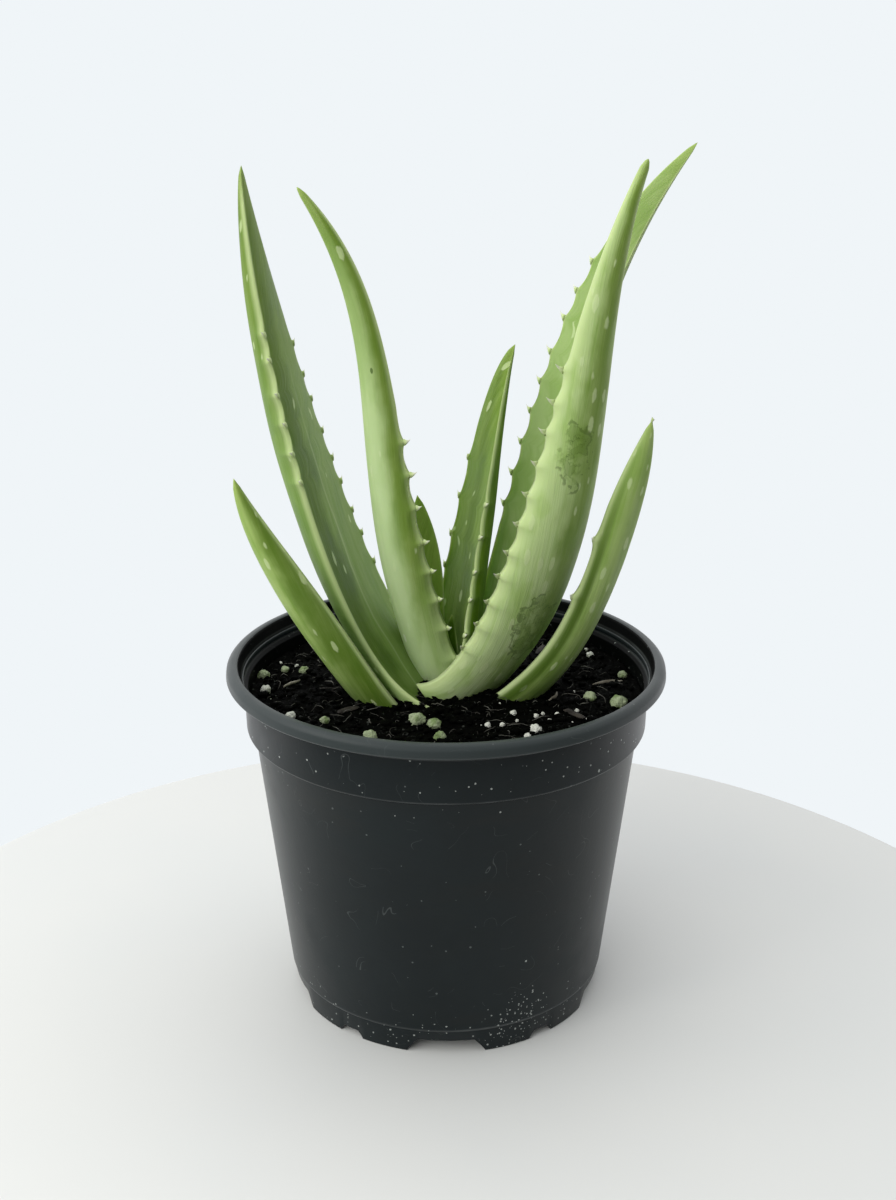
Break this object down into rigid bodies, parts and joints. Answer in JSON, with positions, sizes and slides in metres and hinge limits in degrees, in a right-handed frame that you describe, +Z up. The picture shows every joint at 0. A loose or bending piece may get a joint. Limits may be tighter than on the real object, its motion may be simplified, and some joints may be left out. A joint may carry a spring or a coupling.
{
  "type": "potted aloe plant",
  "caption": "Young aloe with long toothed succulent leaves rising from potting mix in a round black nursery pot.",
  "frame": {"origin": "centre of the pot's underside, on the plane it stands on", "axes": "+Z up along the pot's axis; -Y towards the side seen first, +X to its right"},
  "size_m": [0.1586, 0.155, 0.2993],
  "materials": {
    "pot_plastic": "satin",
    "potting_mix": "matte",
    "stem_and_roots": "matte",
    "leaf_skin": "satin",
    "perlite": "matte",
    "bark": "matte",
    "dry_twig": "matte"
  },
  "bodies": {
    "root": {"pot": "pot_plastic", "soil": "potting_mix", "stem": "stem_and_roots", "leaf_left_low": "leaf_skin", "leaf_right_low": "leaf_skin", "leaf_left_tall": "leaf_skin", "leaf_front_right": "leaf_skin", "leaf_front_left": "leaf_skin", "leaf_back_right": "leaf_skin", "leaf_inner_centre": "leaf_skin", "leaf_inner_small": "leaf_skin", "leaf_core_sprout": "leaf_skin", "perlite_1": "perlite", "perlite_2": "perlite", "perlite_3": "perlite", "perlite_4": "perlite", "perlite_5": "perlite", "perlite_6": "perlite", "perlite_7": "perlite", "perlite_8": "perlite", "perlite_9": "perlite", "perlite_10": "perlite", "perlite_11": "perlite", "perlite_12": "perlite", "perlite_13": "perlite", "perlite_14": "perlite", "perlite_15": "perlite", "perlite_16": "perlite", "perlite_17": "perlite", "bark_1": "bark", "bark_2": "bark", "bark_3": "bark", "bark_4": "bark", "twig_1": "dry_twig", "twig_2": "dry_twig", "twig_3": "dry_twig", "twig_4": "dry_twig"}
  },
  "joints": []
}
